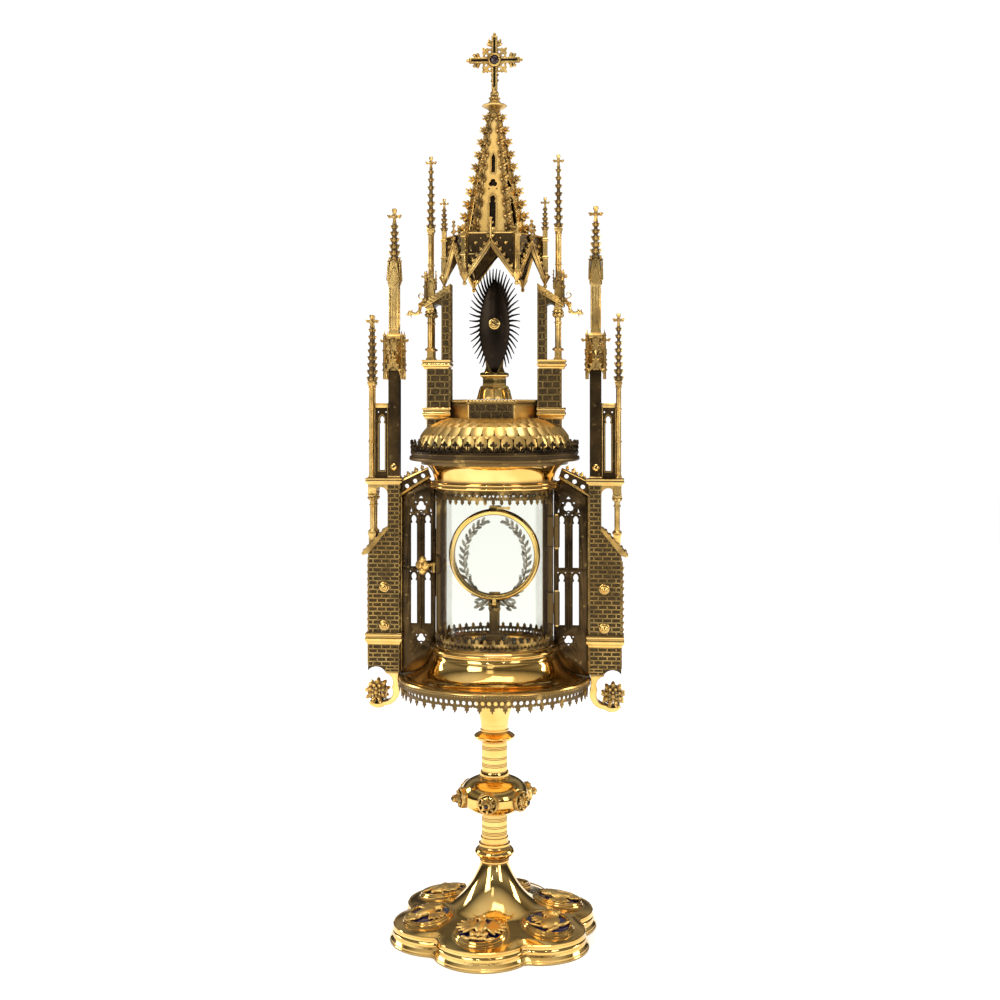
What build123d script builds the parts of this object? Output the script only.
from build123d import *
import math
import os

# Tower monstrance in gilt brass. Millimetres, Z up, origin at the bottom centre of the foot.
# The side with the glass door faces -Y; the towers stand at -X and +X.

# Foot and stem. The foot and the knop are turned a little from the tower above them.
stem_turn = -6.0
lobe_count = 6
lobe_centre = 51.5
lobe_radius = 40.5
rim_steps = ((44.0, 0.0, 5.0), (42.4, 5.0, 10.0), (lobe_radius, 10.0, 16.0))
foot_wall = 2.5
foot_edge = (94.0, 15.5)
foot_neck_base = (40.0, 25.0)
foot_top = 66.0
foot_boss_bottom = 52.0
base_plate_thickness = 2.0
medallion_reach = 61.7
medallion_height = 21.4
medallion_tilt = 9.8
bezel_radius = 23.0
enamel_radius = 18.5
relief_radius = 15.0
rod_radius = 4.0
rod_bore = 4.1
rod_bottom = 40.0
rod_top = 258.0
knop_middle = 123.0
knop_radius = 31.0
knop_ends = (106.0, 145.0)
boss_radius = 9.15
boss_tip = 40.0
garnet_radius = 1.8
shaft_radius = 11.6
collar_top = 187.0

# Base and glass drum.
deck_bottom = 226.0
deck_top = 230.5
deck_radius = 86.0
pendant_bottom = 213.6
pendant_count = 48
drum_bottom = 260.0
drum_top = 399.0
drum_ring_radius = 58.3
glass_radius = 47.5
glass_thickness = 1.5
post_inner = 43.6
post_outer = 53.3
post_depth = 5.0
seam_gap = 0.3
cresting_radius = 52.6
cresting_thickness = 1.2
cresting_height = 11.0
cresting_tips = 46

# Door, hinges and latch.
hinge_x = 56.2
hinge_y = -5.5
barrel_radius = 2.8
pin_radius = 1.2
pin_clearance = 0.05
hinge_spans = ((278.0, 307.0), (347.0, 375.0))
latch_z = 330.7
latch_root = (-50.5, -2.5)
latch_spindle = 1.6
latch_head_radius = 4.2
latch_head = (15.2, 17.6)

# Lunette: a clamp of two rings that holds a 70 mm wafer between two panes.
ring_outer = 40.5
ring_inner = 35.75
ring_z = 339.3
ring_depth = 4.2
ring_gap = 0.2
gate_axis = (-2.2, 295.2)
gate_barrel = 2.4
wreath_gap = 2.0
wreath_thickness = 1.9
wreath_z = 333.3

# Roof.
roof_deck = 431.0
roof_radius = 76.8
roof_cresting_tips = 42
plinth_radius = 39.6
plinth_bottom = 452.0
plinth_top = 479.0
pedestal_top = 515.0

# Towers, given for the +X side and mirrored.
inner_tower = (39.0, 60.0)
inner_depth = 10.5
inner_column_y = 7.0
outer_tower = (85.0, 114.0)
outer_depth = 9.0
outer_column_y = 5.6
cap_overhang = 2.4
outer_cap = (402.3, 408.0)

light_width = 5.3
light_places = (60.5, 73.1)
light_heights = ((276.6, 322.7), (328.0, 374.4))

# Baldachin, spire and cross.
canopy_radius = 45.0
canopy_wall = 3.5
canopy_bottom = 584.0
canopy_top = 627.0
arch_half = 16.0
spire_foot = 28.5
spire_tip = 6.0
spire_top = 737.5
spire_wall = 2.2
cross_middle = 784.3
cross_arm = 25.5
cross_tip = 810.4


def lathe(*steps):
    """Turn an outline about Z: a point ends a straight run, a pair is an arc's middle and end."""
    edges = []
    here = steps[0]
    for step in steps[1:] + (steps[0],):
        if isinstance(step[0], tuple):
            edges.append(ThreePointArc(here, step[0], step[1]))
            here = step[1]
        elif math.dist(here, step) > 1e-6:
            edges.append(Line(here, step))
            here = step
    return revolve(Plane.XZ * make_face(Curve() + edges), Axis.Z)


def block(x, y, z):
    """A box between two limits on each axis."""
    size = [high - low for low, high in (x, y, z)]
    middle = [(high + low) / 2 for low, high in (x, y, z)]
    return Pos(*middle) * Box(*size)


def slab(points, depth):
    """An XZ outline with equal thickness either side of the middle plane."""
    outline = make_face(Polyline(*points, close=True))
    return extrude(Plane.XZ * outline, depth, both=True)


def plate(sketch, front, back):
    """An XZ sketch made into a plate between two Y values."""
    return extrude(Plane.XZ.offset(-back) * sketch, back - front)


def rod_along_x(radius, x, y, z):
    """A round bar along X between two X values."""
    return Pos((x[0] + x[1]) / 2, y, z) * Rot(0, 90, 0) * Cylinder(radius, x[1] - x[0])


def upright(radius, x, y, z):
    """A round bar along Z between two heights."""
    return Pos(x, y, (z[0] + z[1]) / 2) * Cylinder(radius, z[1] - z[0])


def square_spire(x, bottom, top, half, y=0.0):
    """A slim four-sided spirelet with a blunt tip."""
    foot = Pos(x, y, bottom) * Rectangle(2 * half, 2 * half)
    tip = Pos(x, y, top) * Rectangle(0.3 * half, 0.3 * half)
    return loft([foot, tip])


def both_sides(shape):
    """A piece and its mirror image on the other side of the tower."""
    return [shape, mirror(shape, about=Plane.YZ)]


def around(shape, count, start=0.0):
    """Copies of a piece spaced evenly round the Z axis."""
    return [Rot(0, 0, start + index * 360 / count) * shape for index in range(count)]


def joined(pieces):
    """One solid from touching pieces."""
    whole = pieces[0]
    for piece in pieces[1:]:
        whole = whole + piece
    return whole


def save(name, *solids):
    """Write one node, with each of its solids kept apart."""
    shape = solids[0] if len(solids) == 1 else Compound(children=list(solids))
    export_step(shape, f"parts/{name}.step")
    print(name, len(solids))


def half_space(low_y, high_y):
    """A block that keeps only what lies between two Y values."""
    return block((-150, 150), (low_y, high_y), (0, 850))


def lobed(radius, bottom, top):
    """The foot's six-lobed outline, raised between two heights."""
    outline = Circle(lobe_centre)
    for index in range(lobe_count):
        angle = math.radians(lobe_angle(index))
        outline += Pos(lobe_centre * math.cos(angle), lobe_centre * math.sin(angle)) * Circle(radius)
    return extrude(Pos(0, 0, bottom) * outline, top - bottom)


def lobe_angle(index):
    """Heading of one lobe or one knop boss, counted from the lobe on the door side."""
    return 270 + stem_turn + index * 360 / lobe_count


def foot_dome(drop):
    """The foot's sloping top, lowered by a wall thickness for its inside."""
    edge_r, edge_z = foot_edge
    neck_r, neck_z = foot_neck_base
    return lathe(
        (0, 0),
        (100, 0),
        (100, edge_z - drop - 1),
        (edge_r, edge_z - drop),
        (neck_r - drop / 2, neck_z - drop),
        ((21.5 - drop, 44.0 - drop), (12.0 - drop, foot_top)),
        (0, foot_top),
    )


def make_foot():
    rim = joined([lobed(*step) for step in rim_steps])
    shell = (rim + lobed(lobe_radius, 16, foot_top)) & foot_dome(0)
    inside = lobed(lobe_radius - foot_wall, 0, foot_boss_bottom) & foot_dome(foot_wall)
    foot = shell - inside - upright(rod_bore, 0, 0, (0, 90))
    save("foot", foot)
    save("foot_base_plate", lobed(lobe_radius - foot_wall, 0, base_plate_thickness))
    return foot


def make_medallions(foot):
    bezel = Cylinder(bezel_radius, 5.0) - Cylinder(enamel_radius, 6.0)
    bezel += Pos(0, 0, -1.5) * Cylinder(enamel_radius, 2.0)
    enamel = Pos(0, 0, 0.5) * Cylinder(enamel_radius, 2.0)
    relief = Pos(0, 0, 2.0) * Cylinder(relief_radius, 1.0)
    seat = Pos(medallion_reach, 0, medallion_height) * Rot(0, medallion_tilt, 0)
    bezels = []
    enamels = []
    reliefs = []
    for index in range(lobe_count):
        place = Rot(0, 0, lobe_angle(index)) * seat
        bezels.append(place * bezel - foot)
        enamels.append(place * enamel - foot)
        reliefs.append(place * relief)
    save("medallion_bezels", *bezels)
    save("medallion_enamels", *enamels)
    save("medallion_reliefs", *reliefs)


def make_tie_rod():
    save("tie_rod", upright(rod_radius, 0, 0, (rod_bottom, rod_top)))
    nut = extrude(Pos(0, 0, foot_boss_bottom - 6) * RegularPolygon(7.5, 6), 6)
    save("tie_nut", nut - upright(rod_radius, 0, 0, (0, 90)))


def grooved_shaft(bottom, top):
    """A round shaft with engraved rings, bored for the tie rod."""
    shaft = upright(shaft_radius, 0, 0, (bottom, top)) - upright(rod_bore, 0, 0, (bottom, top))
    middle = (bottom + top) / 2
    for offset in (-4.0, 0.0, 4.0):
        cutter = upright(shaft_radius + 1, 0, 0, (middle + offset - 0.5, middle + offset + 0.5))
        cutter -= upright(shaft_radius - 0.6, 0, 0, (bottom, top))
        shaft -= cutter
    return shaft


def make_stem():
    lower_end, upper_end = knop_ends
    lower = lathe(
        (rod_bore, foot_top),
        (13, foot_top),
        (13, 68),
        ((17.8, 72.8), (13.6, 78.4)),
        (13.6, 86),
        (rod_bore, 86),
    )
    upper = lathe(
        (rod_bore, 173),
        (13, 173),
        ((18.5, 176.6), (13, 180.6)),
        (13, collar_top),
        (rod_bore, collar_top),
    )
    save("stem_sections", lower, grooved_shaft(86, lower_end), grooved_shaft(upper_end, 173), upper)
    cup = lathe(
        (rod_bore, collar_top),
        (12.5, collar_top),
        (12.5, 190),
        ((16.0, 205), (24, deck_bottom)),
        (rod_bore, deck_bottom),
    )
    save("calyx", cup)


def make_knop():
    lower_end, upper_end = knop_ends
    knop = lathe(
        (rod_bore, lower_end),
        (13, lower_end),
        ((knop_radius, knop_middle), (14.5, 139.6)),
        (13, upper_end),
        (rod_bore, upper_end),
    )
    save("knop", knop)
    rim = ((boss_radius, 22), (boss_radius, 33), (6.5, 36))
    boss = lathe((0, 22), *rim, (4, 36), (4, boss_tip), (0, boss_tip))
    garnet = upright(garnet_radius, 0, 0, (boss_tip, boss_tip + 1.4))
    bosses = []
    garnets = []
    for index in range(lobe_count):
        place = Pos(0, 0, knop_middle) * Rot(0, 0, lobe_angle(index)) * Rot(0, 90, 0)
        bosses.append(place * boss - knop)
        garnets.append(place * garnet)
    save("knop_bosses", *bosses)
    return garnets


def toothed_ring(outer, thickness, bottom, top, count, upward):
    """A thin band whose free edge is cut into points."""
    band = upright(outer, 0, 0, (bottom, top)) - upright(outer - thickness, 0, 0, (bottom - 1, top + 1))
    half = math.pi * outer / count
    depth = 0.45 * (top - bottom)
    edge, root = (top + 0.2, top - depth) if upward else (bottom - 0.2, bottom + depth)
    notch = make_face(Polyline((-0.8 * half, edge), (0.8 * half, edge), (0, root), close=True))
    cutter = extrude(Plane.YZ.offset(outer - 2 * thickness) * notch, 4 * thickness)
    return band - around(cutter, count, 180 / count)


def make_base():
    deck = lathe(
        (rod_bore, deck_bottom),
        (84, deck_bottom),
        (84, 227.5),
        (deck_radius, 228.6),
        (deck_radius, deck_top),
        (rod_bore, deck_top),
    )
    save("base_deck", deck)
    pendant = toothed_ring(83.6, 1.4, pendant_bottom, deck_bottom, pendant_count, False)
    flare = lathe((80, deck_top), ((63, 238.5), (54, 254)), (50, 254), ((59, 236.5), (74, deck_top)))
    save("base_flare", flare)
    floor = lathe(
        (0, 254),
        (54, 254),
        (56.5, 254.5),
        ((drum_ring_radius, 257), (56.5, drum_bottom)),
        (0, drum_bottom),
    )
    floor -= upright(rod_radius, 0, 0, (250, rod_top))
    save("drum_floor", floor)
    return deck, flare, floor, pendant


def glass_ring():
    return upright(glass_radius, 0, 0, (drum_bottom, drum_top)) - upright(
        glass_radius - glass_thickness, 0, 0, (drum_bottom - 1, drum_top + 1)
    )


def make_drum():
    post = block((post_inner, post_outer), (seam_gap, post_depth), (drum_bottom, drum_top))
    posts = both_sides(post)
    save("drum_posts", *posts)
    glass = (glass_ring() & half_space(seam_gap, 100)) - posts[0] - posts[1]
    save("front_glass", glass)
    lower, upper = cresting_rings()
    front = half_space(post_depth, 100)
    front_crestings = [lower & front, upper & front]
    ceiling = lathe(
        (0, drum_top),
        (56.8, drum_top),
        ((58.6, 402.5), (56.8, 406)),
        (54, 406),
        ((56, 414), (62, 421)),
        (44, 421),
        (44, 403),
        (0, 403),
    )
    save("drum_ceiling", ceiling)
    return front_crestings


def cresting_rings():
    """The upright band at the drum's foot and the hanging band at its head, as whole rings."""
    low = (drum_bottom + seam_gap, drum_bottom + cresting_height)
    high = (drum_top - cresting_height - 1, drum_top - seam_gap)
    lower = toothed_ring(cresting_radius, cresting_thickness, *low, cresting_tips, True)
    upper = toothed_ring(cresting_radius, cresting_thickness, *high, cresting_tips, False)
    return lower, upper


def latch_frame():
    """Local frame of the latch: Z runs out along the spindle, X towards the keeper, Y down the post."""
    x, y = latch_root
    return Plane(origin=(x, y, latch_z), x_dir=(-1, 1, 0), z_dir=(-1, -1, 0))


def make_door():
    low = drum_bottom + 0.4
    high = drum_top - 0.4
    stile = block((post_inner, post_outer - 0.4), (-post_depth, -seam_gap), (low, high))
    rail_ring = Cylinder(glass_radius + 1, 3) - Cylinder(glass_radius - 2, 4)
    rails = [Pos(0, 0, height) * rail_ring for height in (low + 1.5, high - 1.5)]
    behind = half_space(-100, -seam_gap)
    frame = joined(both_sides(stile) + [rail & behind for rail in rails])
    boss = latch_frame() * (Pos(0, 0, 1.6) * Box(7, 16, 6.4))
    bore = latch_frame() * Cylinder(latch_spindle + pin_clearance, 30)
    frame = frame + (boss & behind) - bore
    save("door_frame", frame)
    pane = (glass_ring() & behind) & block((-60, 60), (-60, 0), (low, high))
    save("door_glass", pane - frame)
    cut = half_space(-100, -post_depth)
    bands = []
    for ring, heights in zip(cresting_rings(), ((low, 280), (380, high))):
        bands.append(ring & cut & block((-60, 60), (-60, 0), heights))
    save("door_crestings", *bands)
    make_hinges()
    make_latch()


def knuckle(z, bore):
    return upright(barrel_radius, hinge_x, hinge_y, z) - upright(bore, hinge_x, hinge_y, z)


def make_hinges():
    door_leaves = []
    fixed_leaves = []
    pins = []
    for bottom, top in hinge_spans:
        third = (top - bottom) / 3
        middle = (bottom + third + 0.2, top - third - 0.2)
        leaf = block((47.8, hinge_x), (-post_depth - 1.3, -post_depth), (bottom + 1, top - 1))
        leaf -= upright(barrel_radius + 0.5, hinge_x, hinge_y, (bottom, middle[0]))
        leaf -= upright(barrel_radius + 0.5, hinge_x, hinge_y, (middle[1], top))
        moving = leaf + upright(barrel_radius, hinge_x, hinge_y, middle)
        door_leaves.append(moving - upright(pin_radius + pin_clearance, hinge_x, hinge_y, (bottom, top)))
        fixed = block((post_outer, post_outer + 1.4), (-2.1, 4.6), (bottom, top))
        for ends in ((bottom, bottom + third), (top - third, top)):
            fixed += block((post_outer, post_outer + 1.4), (hinge_y, -2.0), ends)
            fixed += knuckle(ends, pin_radius)
        fixed_leaves.append(fixed - upright(pin_radius, hinge_x, hinge_y, (bottom, top)))
        heads = [Pos(hinge_x, hinge_y, end) * Cylinder(2.0, 1.6) for end in (bottom - 0.8, top + 0.8)]
        pins.append(upright(pin_radius, hinge_x, hinge_y, (bottom, top)) + heads[0] + heads[1])
    save("door_hinge_leaves", *door_leaves)
    save("fixed_hinge_leaves", *fixed_leaves)
    save("hinge_pins", *pins)


def make_latch():
    """A turn button: at rest its tongue hangs clear; a quarter turn puts it behind the lip."""
    petals = Circle(latch_head_radius)
    for x, y in ((1, 0), (-1, 0), (0, 1), (0, -1)):
        petals += Pos(latch_head_radius * x, latch_head_radius * y) * Circle(latch_head_radius)
    inside, outside = latch_head
    head = Pos(0, 0, inside) * extrude(petals, outside - inside)
    button = Pos(0, 0, outside) * Cylinder(2.6, 3.2)
    spindle = Pos(0, 0, inside / 2 + 1.3) * Cylinder(latch_spindle, inside)
    tongue = Pos(0, 2.9, 6.2) * Box(3.6, 9.4, 1.6)
    save("latch_knob", latch_frame() * (spindle + tongue + head + button))
    lip = Pos(6.8, 0, 8.0) * Box(5.2, 5.0, 1.4)
    lip += Pos(9.0, 0, 5.6) * Box(1.6, 5.0, 6.2)
    strip = block((-post_outer - 3.6, -post_outer), (seam_gap, 4.6), (301, 362))
    arm = latch_frame() * (lip + Pos(8.7, 0, 1.4) * Box(2.2, 5.0, 5.0))
    save("latch_keeper", strip + (arm - half_space(4.6, 100)))


def make_lunette():
    track = block((-31, 31), (-24, 12), (drum_bottom, 262.5))
    for rail in both_sides(block((8.3, 11), (-24, 12), (262.5, 265.5))):
        track += rail
    save("lunette_track", track)
    axis_y, axis_z = gate_axis
    ears = both_sides(block((2.2, 5.2), (axis_y - gate_barrel, 2), (291, axis_z)))
    ears += both_sides(rod_along_x(gate_barrel, (2.2, 5.2), axis_y, axis_z))
    stand = joined(
        [
            block((-8, 8), (-7, 7), (262.8, 268)),
            block((-5.5, 5.5), (-2, 2), (268, 292)),
            block((-4, 4), (ring_gap + 1, ring_depth), (288, 299.2)),
        ]
        + ears
    )
    ring = upright_ring(ring_outer, ring_inner, ring_gap, ring_depth)
    clasp_box = block((-5, 6), (ring_gap, ring_depth), (378, 383.5))
    stand = stand - ring - rod_along_x(1.0, (-6, 6), axis_y, axis_z)
    save("lunette_stand", stand)
    lever_pin = Pos(4, -1.0, 381.4) * Rot(90, 0, 0) * Cylinder(0.8, 10.0)
    save("lunette_ring", ring + clasp_box + lever_pin)
    save("lunette_glass", upright_disc(ring_inner, 2.8, 3.8))
    save("lunette_hinge_pin", rod_along_x(1.0, (-5.8, 5.8), axis_y, axis_z))
    lever = block((2.4, 13), (-5.7, -4.6), (380.4, 382.4))
    lever += Pos(13, -5.15, 381.4) * Rot(90, 0, 0) * Cylinder(1.5, 1.1)
    save("clasp_lever", lever - Pos(4, -5, 381.4) * Rot(90, 0, 0) * Cylinder(0.85, 10.0))


def upright_ring(outer, inner, front, back):
    return plate(Pos(0, ring_z) * (Circle(outer) - Circle(inner)), front, back)


def upright_disc(radius, front, back):
    return plate(Pos(0, ring_z) * Circle(radius), front, back)


def make_gate():
    axis_y, axis_z = gate_axis
    ring = upright_ring(ring_outer, ring_inner, -ring_depth, -ring_gap)
    neck = block((-1.9, 1.9), (axis_y - 1.9, axis_y + 1.9), (axis_z, 300))
    barrel = rod_along_x(gate_barrel, (-1.9, 1.9), axis_y, axis_z)
    gate = ring + neck + barrel - rod_along_x(1.05, (-3, 3), axis_y, axis_z)
    save("lunette_gate", gate)
    save("gate_glass", upright_disc(ring_inner, -3.8, -2.8))


def make_wreath():
    """Two laurel branches on the front of the fixed ring, held off it by two pads."""
    band = Pos(0, wreath_z) * (Ellipse(31, 40) - Ellipse(26, 35))
    band -= Pos(0, wreath_z + 39.7) * Rectangle(4, 16)
    for side in (1, -1):
        band += Pos(8.5 * side, wreath_z - 42.3) * Rot(0, 0, 25 * side) * Rectangle(17, 2.4)
    back = ring_depth + wreath_gap
    wreath = plate(band, back, back + wreath_thickness)
    for pad in both_sides(block((11, 14), (ring_depth, back), (300.8, 304))):
        wreath += pad
    save("silver_wreath", wreath)


def make_roof():
    deck = lathe(
        (0, 424),
        (60, 424),
        (60, 421),
        (66, 421),
        ((69.5, 423.6), (74, 424.5)),
        (roof_radius, 424.5),
        (roof_radius, 428),
        (75.6, roof_deck),
        (62, roof_deck),
        (62, 427),
        (0, 427),
    )
    save("roof_cornice", deck)
    cresting = toothed_ring(75.2, 1.2, roof_deck, 443, roof_cresting_tips, True)
    dome = lathe(
        (68, roof_deck),
        ((66.2, 446), (58.5, 454.5)),
        (41, 461.5),
        (0, 463),
        (0, 460),
        (40, 459),
        (56.5, 452),
        ((63.4, 445), (65, roof_deck)),
    )
    save("roof_dome", dome)
    plinth = extrude(Pos(0, 0, plinth_bottom) * RegularPolygon(plinth_radius, 6), 475 - plinth_bottom)
    plinth += extrude(Pos(0, 0, 475) * RegularPolygon(42, 6), plinth_top - 475)
    filled_dome = lathe(
        (0, 400),
        (68, 400),
        (68, roof_deck),
        ((66.2, 446), (58.5, 454.5)),
        (41, 461.5),
        (0, 463),
    )
    plinth -= filled_dome
    save("hex_plinth", plinth)
    return plinth, filled_dome, cresting


def make_mandorla():
    pedestal = lathe(
        (0, plinth_top),
        (16, plinth_top),
        ((15.5, 484), (13, 488)),
        (13, 490),
        (10.8, 491),
        (10.8, 499),
        (13, 501),
        (13, 504),
        ((9, 508), (7.5, pedestal_top)),
        (0, pedestal_top),
    )
    arc_pair = [ThreePointArc((0, 499.5), (12.5 * side, 541.5), (0, 584)) for side in (1, -1)]
    almond = make_face(Curve() + arc_pair)
    shield = plate(almond, -1.2, 1.2)
    rays = plate(ray_outline(44, (14.5, 40), (23, 47)), 1.2, 2.4)
    pedestal = pedestal - block((-13, 13), (-1.2, 2.4), (499.5, 520))
    save("mandorla_pedestal", pedestal)
    save("mandorla", shield, rays)
    nut = Pos(0, -3.2, 547) * Rot(90, 0, 0) * Cylinder(5, 4)
    return nut


def ray_outline(count, valley, tip):
    """A star on an ellipse: points alternate between two half-axes."""
    points = []
    for index in range(2 * count):
        angle = math.pi * index / count
        across, along = tip if index % 2 == 0 else valley
        points.append((across * math.sin(angle), 549.7 + along * math.cos(angle)))
    return make_face(Polyline(*points, close=True))


def make_inner_towers(plinth, filled_dome):
    near, far = inner_tower
    lower = block((near, far), (-inner_depth, inner_depth), (440, 461)) - filled_dome - plinth
    middle = block((near, far), (-inner_depth, inner_depth), (471.6, 506)) - plinth
    pier = block((near, 46.8), (-inner_depth, inner_depth), (514.4, 575))
    slope = ((46.8, 575), (61, 562), (62, 566.5))
    rake = slab(((near, 575), *slope, (near + 1, canopy_bottom)), inner_depth)
    head = pier + rake
    for name, pick in (("right", 0), ("left", 1)):
        solids = [both_sides(piece)[pick] for piece in (lower, middle, head)]
        save(f"inner_tower_{name}", *solids)
    inner_caps = []
    for bottom, top in ((461, 471.6), (506, 514.4)):
        depth = inner_depth + cap_overhang
        cap = block((near - 1, far + 4), (-depth, depth), (bottom, top)) - plinth - filled_dome
        inner_caps += both_sides(cap)
    return inner_caps


def make_columns():
    """Pairs of small columns, one behind the other, under each rake and each outer arch."""
    rake = slab(((46.8, 575), (61, 562), (62, 580)), 24)
    inner = []
    for y in (-inner_column_y, inner_column_y):
        inner += [
            block((53.6, 61.0), (y - 3.0, y + 3.0), (514.4, 524)),
            upright(2.9, 57.3, y, (524, 527.4)),
            upright(2.3, 57.3, y, (527.4, 552)),
            block((54.1, 60.5), (y - 3.0, y + 3.0), (552, 565)) - rake,
        ]
    outer = []
    for y in (-outer_column_y, outer_column_y):
        outer += [
            block((106.4, 113.6), (y - 3.2, y + 3.2), (340, 356)),
            upright(3.1, 110, y, (356, 363)),
            upright(2.5, 110, y, (363, 387)),
            block((106.4, 113.6), (y - 3.2, y + 3.2), (387, 394)),
        ]
    arch = joined([*outer, block((105.6, 114), (-outer_depth, outer_depth), (394, outer_cap[0]))])
    arch -= tower_wall()
    arch += block((96, 106), (-outer_depth, outer_depth), (398.4, outer_cap[0]))
    pairs = [joined(inner[:4]), joined(inner[4:]), arch]
    save("tower_columns", *[half for pair in pairs for half in both_sides(pair)])


def tower_wall():
    """The outer tower's brick shaft with its sloping weathering."""
    near, far = outer_tower
    outline = (
        (near, 268.5),
        (far, 268.5),
        (far, 338),
        (120, 339.5),
        (119, 343),
        (104, 352.5),
        (96, 364),
        (near, 364),
    )
    return slab(outline, outer_depth)


def make_outer_towers(deck, flare):
    near, far = outer_tower
    foot = block((near, far), (-outer_depth, outer_depth), (233.5, 258.3))
    foot -= Pos(106.5, 0, 229) * Rot(90, 0, 0) * Cylinder(9, 40)
    pier = block((near, 96), (-outer_depth, outer_depth), (364, outer_cap[0]))
    for name, pick in (("right", 0), ("left", 1)):
        solids = [both_sides(piece)[pick] for piece in (foot, tower_wall(), pier)]
        save(f"outer_tower_{name}", *solids)
    bracket = Pos(106.5, 0, 215) * Rot(90, 0, 0) * (Cylinder(11.8, 9) + Cylinder(13.4, 7))
    bracket += block((108.5, 114), (-7, 7), (222, 233.5)) + block((85, 100), (-5, 5), (deck_top, 233.5))
    bracket += slab(((85, 226), (97, 219), (100, 224), (91, 233.5), (85, 233.5)), 5)
    save("scroll_brackets", *both_sides(bracket - deck - flare))
    depth = outer_depth + cap_overhang
    caps = []
    for bottom, top in ((258.3, 268.5), outer_cap):
        caps += both_sides(block((near - 0.6, far + cap_overhang), (-depth, depth), (bottom, top)))
    return caps


def make_wings(floor, flare, caps):
    """The pierced panel between the drum and each outer tower, and the sloping stay above it."""
    near = outer_tower[0]
    outline = ((51, 232), (near, 232), (near, 392), (61, 404), (post_outer, 404), (post_outer, 236))
    panel = slab(outline, 1.5)
    half = light_width / 2
    for x in light_places:
        for bottom, top in light_heights:
            head = Pos(x, 0, top - half) * Rot(90, 0, 0) * Cylinder(half, 10)
            panel -= block((x - half, x + half), (-5, 5), (bottom, top - half)) + head
    blocked = lathe(
        (0, 200),
        (86, 200),
        (86, deck_top),
        (80, deck_top),
        ((63, 238.5), (54, 254)),
        (54, 254),
        (0, 254),
    )
    panel = panel - blocked - floor - block((50, 60), (-20, 20), (drum_bottom - 7, drum_bottom))
    panel -= block((0, 64), (-20, 20), (drum_top - 0.01, 430))
    for bottom, top in hinge_spans:
        panel -= block((50, 58.2), (-9, 5), (bottom - 2, top + 2))
    panel -= block((50, 57.4), (-9, 5), (300.8, 362.2))
    panel -= block((50, 66), (-9, 5), (latch_z - 10, latch_z + 4))
    for cap in caps:
        panel -= cap
    save("wing_panels", *both_sides(panel))
    foot_end = ((83.7, 392.2), (near, 392.2), (near, 402.3), (84.4, 402.3))
    head_end = ((82, 405.3), (61.7, 417.6), (59.2, 413.5))
    stay = slab(foot_end + head_end, 2.5)
    ceiling = lathe((0, 395), (58.6, 395), (58.6, 406), (54, 406), ((56, 414), (62, 421)), (0, 421))
    for x, z in ((79.4, 401.8), (72, 405.8), (64.8, 409.6)):
        stay -= Pos(x, 0, z) * Rot(90, 0, 0) * Cylinder(2.05, 10)
    save("flying_stays", *both_sides(stay - ceiling - panel))


def outer_pinnacle():
    """The bar, canopy, shaft and spirelet over the outer tower's inner corner."""
    x = 91.0
    bottom = outer_cap[1]
    bar = block((x - 5.2, x + 5.2), (-4.5, 4.5), (bottom, 505))
    canopy = block((x - 9, x + 9), (-9, 9), (505, 530)) + square_spire(x, 530, 548, 9)
    shaft = block((x - 4.6, x + 4.6), (-4.6, 4.6), (540, 586)) + block((x - 7, x + 7), (-7, 7), (586, 598))
    return bar + canopy + shaft + square_spire(x, 598, 655, 5.5)


def small_pinnacle(x, bottom, shaft_top, top, half):
    shaft = block((x - half, x + half), (-half, half), (bottom, shaft_top))
    return shaft + square_spire(x, shaft_top, top, half + 0.4)


def make_pinnacles():
    save("outer_pinnacles", *both_sides(outer_pinnacle()))
    side = small_pinnacle(111.3, outer_cap[1], 494, 558, 3.1)
    lancet = block((96.2, 108.2), (-2, 2), (outer_cap[1], 473)) - block((99.7, 104.5), (-5, 5), (415, 464))
    save("side_pinnacles", *both_sides(side), *both_sides(lancet))
    roof_line = slab(((46.8, 575), (61, 562), (62, 566.5), (40, canopy_bottom), (40, 560)), 20)
    inner = small_pinnacle(56.0, 560, 632, 700.8, 3.0)
    inner += block((52.0, 60.0), (-4, 4), (565, 591))
    below_roof = slab(((46.8, 575), (40, 560), (61, 540), (61, 562)), 20)
    save("inner_pinnacles", *both_sides(inner - roof_line - below_roof))


def make_gargoyles():
    belly = ((62, 566.3), (61.4, 562), (70, 561), (80, 554.5))
    back = ((80.5, 559), (72, 566), (66, 571), (62.2, 571))
    body = slab(belly + back, 2.6)
    wall = slab(((0, 500), (61, 500), (61, 562), (62, 566.5), (60.0, 591), (0, 600)), 20)
    save("gargoyles", *both_sides(body - wall))


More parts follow.
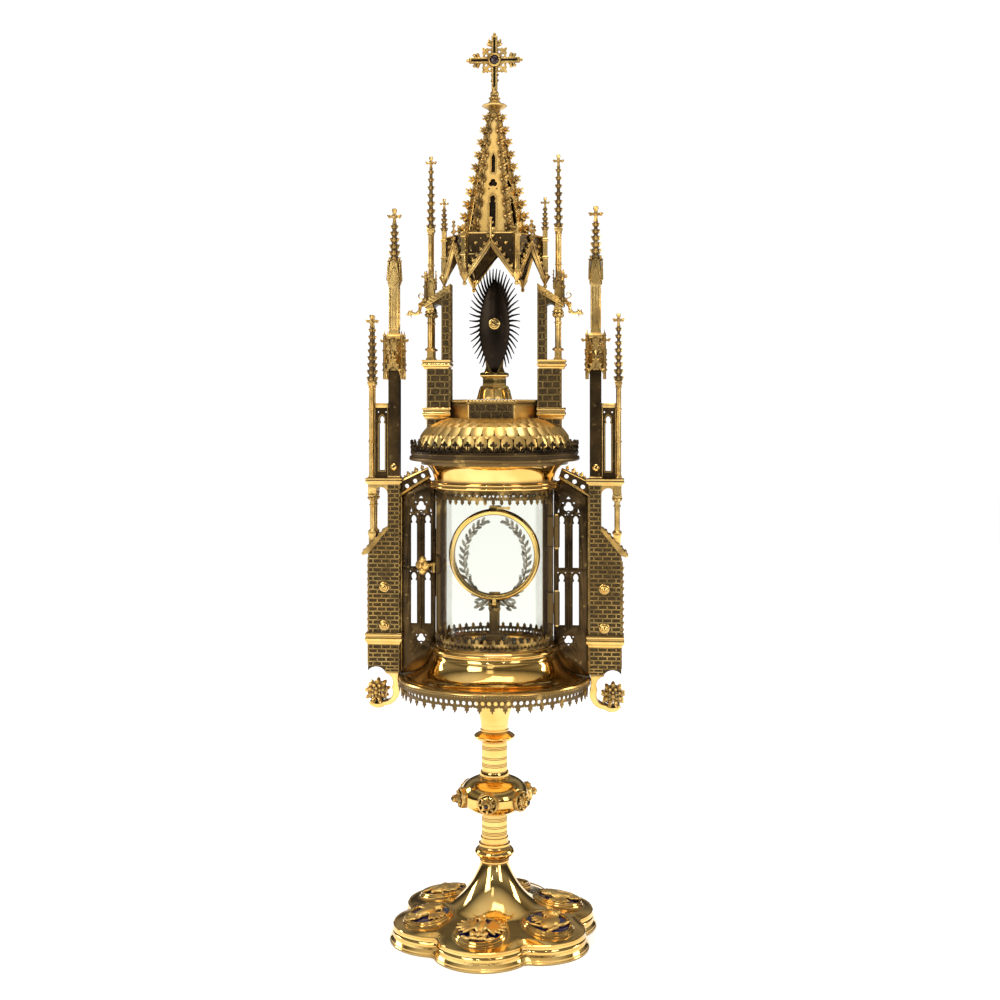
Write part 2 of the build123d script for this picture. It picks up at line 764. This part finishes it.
def make_canopy():
    """Six arched walls under a flat top; each gable is two raking legs, so that the arches stay open."""
    prism = RegularPolygon(canopy_radius, 6)
    hollow = RegularPolygon(canopy_radius - canopy_wall, 6)
    ceiling_bottom = canopy_top - canopy_wall
    ceiling = extrude(Pos(0, 0, ceiling_bottom) * hollow, canopy_wall)
    ring = extrude(Pos(0, 0, canopy_bottom) * (prism - hollow), canopy_top - canopy_bottom)
    flat = canopy_radius * math.cos(math.pi / 6)
    arch = make_face(
        Polyline((-arch_half, 580), (arch_half, 580), (arch_half, 590))
        + ThreePointArc((arch_half, 590), (12, 601), (0, 608))
        + ThreePointArc((0, 608), (-12, 601), (-arch_half, 590))
        + Line((-arch_half, 590), (-arch_half, 580))
    )
    opening = extrude(Plane.YZ.offset(flat - 8) * arch, 16)
    reach = 60.0
    edge = reach * math.tan(math.pi / 6)
    sector = Pos(0, 0, 500) * make_face(Polyline((0, 0), (reach, -edge), (reach, edge), close=True))
    wall = (Rot(0, 0, -30) * ring & extrude(sector, 200)) - opening
    legs = []
    for side in (1, -1):
        points = ((-18, 590), (-15.5, 590), (0, 613), (0, 638), (-1, 638), (-1, 626))
        leg = make_face(Polyline(*[(side * x, z) for x, z in points], close=True))
        legs.append(extrude(Plane.YZ.offset(flat) * leg, 2.2))
    walls = around(wall, 6, 30)
    save("canopy", ceiling, *walls, *around(legs[0], 6, 30), *around(legs[1], 6, 30))
    corner = canopy_radius + 2.5
    piers = []
    for turn in range(0, 360, 60):
        low, high = (633, 662.4) if turn % 180 == 0 else (622, 634)
        pier = block((canopy_radius, canopy_radius + 5), (-2.5, 2.5), (586, low))
        pier += square_spire(corner, low, high, 2.8)
        pier += Pos(corner, 0, 583) * Rot(180, 0, 0) * Cone(2.5, 0.8, 6)
        piers.append(Rot(0, 0, turn) * pier - ring)
    save("canopy_pinnacles", *piers)


def make_spire():
    height = spire_top - canopy_top
    outer = loft(
        [
            Pos(0, 0, canopy_top) * RegularPolygon(spire_foot, 6),
            Pos(0, 0, spire_top) * RegularPolygon(spire_tip, 6),
        ]
    )
    inner = loft(
        [
            Pos(0, 0, canopy_top - 1) * RegularPolygon(spire_foot - spire_wall, 6),
            Pos(0, 0, spire_top - 12) * RegularPolygon(spire_tip - spire_wall + 2, 6),
        ]
    )
    slit = extrude(Plane.YZ * (Pos(0, canopy_top + 0.16 * height) * SlotOverall(30, 6, rotation=90)), 60)
    dagger = extrude(Plane.YZ * (Pos(0, canopy_top + 0.58 * height) * SlotOverall(16, 3, rotation=90)), 60)
    spire = outer - inner - around(slit, 6, 30) - around(dagger, 6, 30)
    save("spire", spire)


def make_cross():
    knob = lathe(
        (0, spire_top),
        (6, spire_top),
        ((11.5, 742.5), (5, 749)),
        (2.6, 750),
        ((4, 753.8), (2.4, 757)),
        (0, 757),
    )
    bar = 2.4
    upright_bar = block((-bar, bar), (-2, 2), (757, cross_tip - 4))
    cross_bar = block((4 - cross_arm, cross_arm - 4), (-2, 2), (cross_middle - bar, cross_middle + bar))
    square = block((-7.8, 7.8), (-1.4, 1.4), (cross_middle - 7.8, cross_middle + 7.8))
    cross = upright_bar + cross_bar + square
    for x, z in ((4 - cross_arm, cross_middle), (cross_arm - 4, cross_middle), (0, cross_tip - 4)):
        cross += Pos(x, 0, z) * Rot(90, 0, 0) * Cylinder(4, 4)
    cross -= Pos(0, -2, cross_middle) * Rot(90, 0, 0) * Cylinder(4.6, 2)
    save("cross", knob, cross)
    return Pos(0, -1.9, cross_middle) * Rot(90, 0, 0) * Cylinder(4.6, 1.8)


def make_fasteners(mandorla_nut):
    nut = Pos(98.7, -outer_depth - 1.6, 0) * Rot(90, 0, 0) * Cylinder(4.5, 3.2)
    nuts = [mandorla_nut]
    for height in (310.3, 275.7):
        nuts += both_sides(Pos(0, 0, height) * nut)
    screw = Pos(91.2, -5.3, 418) * Rot(90, 0, 0) * Cylinder(3.15, 1.6)
    screw -= Pos(91.2, -6.0, 418) * Box(7, 1, 1)
    save("wall_fasteners", *nuts, *both_sides(screw))


def main():
    os.makedirs("parts", exist_ok=True)
    foot = make_foot()
    make_medallions(foot)
    make_tie_rod()
    make_stem()
    garnets = make_knop()
    deck, flare, floor, pendant = make_base()
    front_crestings = make_drum()
    make_door()
    make_lunette()
    make_gate()
    make_wreath()
    plinth, filled_dome, roof_cresting = make_roof()
    save("crestings", pendant, *front_crestings, roof_cresting)
    mandorla_nut = make_mandorla()
    inner_caps = make_inner_towers(plinth, filled_dome)
    make_columns()
    outer_caps = make_outer_towers(deck, flare)
    save("tower_cornices", *inner_caps, *outer_caps)
    make_wings(floor, flare, outer_caps)
    make_pinnacles()
    make_gargoyles()
    make_canopy()
    make_spire()
    centre_stone = make_cross()
    save("garnets", *garnets, centre_stone)
    make_fasteners(mandorla_nut)


main()
